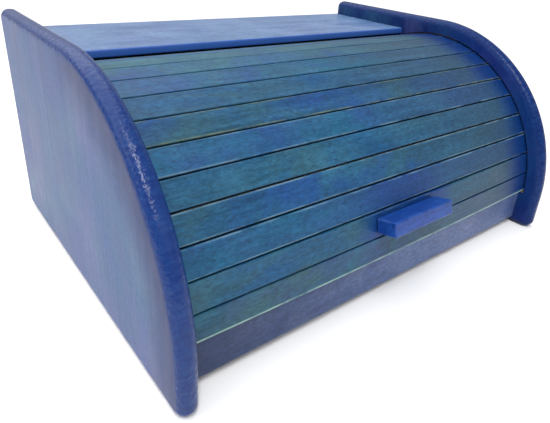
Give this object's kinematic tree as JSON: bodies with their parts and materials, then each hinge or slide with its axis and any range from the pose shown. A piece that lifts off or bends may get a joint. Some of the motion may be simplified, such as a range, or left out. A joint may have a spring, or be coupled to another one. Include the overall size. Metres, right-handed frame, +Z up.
{
  "type": "roll-top storage box",
  "caption": "Wooden box with rounded side panels, a fixed top board and a slatted roll-up front that slides back under the top.",
  "frame": {"origin": "middle of the footprint, on the surface the box stands on", "axes": "+X to the right across the width, +Y to the back, the roll-up front faces -Y, +Z up"},
  "size_m": [0.396, 0.304, 0.18],
  "materials": {
    "side_panel_blue": "blue stain under satin varnish",
    "board_blue": "blue stain under satin varnish",
    "rail_blue": "blue stain under satin varnish",
    "slat_blue": "teal-blue stain under satin varnish",
    "handle_blue": "royal blue stain under satin varnish",
    "bare_plywood": "bare birch plywood",
    "bare_beech": "bare beech",
    "canvas": "unbleached cotton canvas",
    "steel": "bright zinc plated"
  },
  "bodies": {
    "carcass": {"left_side_panel": "side_panel_blue", "right_side_panel": "side_panel_blue", "top_board": "board_blue", "base_board": "bare_plywood", "front_rail": "rail_blue", "back_panel": "bare_plywood", "rail_dowel_left_lower": "bare_beech", "rail_dowel_left_upper": "bare_beech", "rail_dowel_right_lower": "bare_beech", "rail_dowel_right_upper": "bare_beech", "back_pin_left_1": "steel", "back_pin_left_2": "steel", "back_pin_left_3": "steel", "back_pin_right_1": "steel", "back_pin_right_2": "steel", "back_pin_right_3": "steel", "back_pin_base_1": "steel", "back_pin_base_2": "steel", "back_pin_base_3": "steel"},
    "shutter": {"slat_01": "slat_blue", "slat_02": "slat_blue", "slat_03": "slat_blue", "slat_04": "slat_blue", "slat_05": "slat_blue", "slat_06": "slat_blue", "slat_07": "slat_blue", "slat_08": "slat_blue", "slat_09": "slat_blue", "slat_10": "slat_blue", "slat_11": "slat_blue", "slat_12": "slat_blue", "slat_13": "slat_blue", "slat_14": "slat_blue", "shutter_canvas": "canvas", "handle": "handle_blue", "handle_screw_left": "steel", "handle_screw_right": "steel"}
  },
  "joints": [
    {"name": "shutter_roll", "type": "hinge", "parent": "carcass", "child": "shutter", "pos_m": [0, -0.005, 0.033], "axis": [-1, 0, 0], "range_deg": [0, 65]}
  ]
}
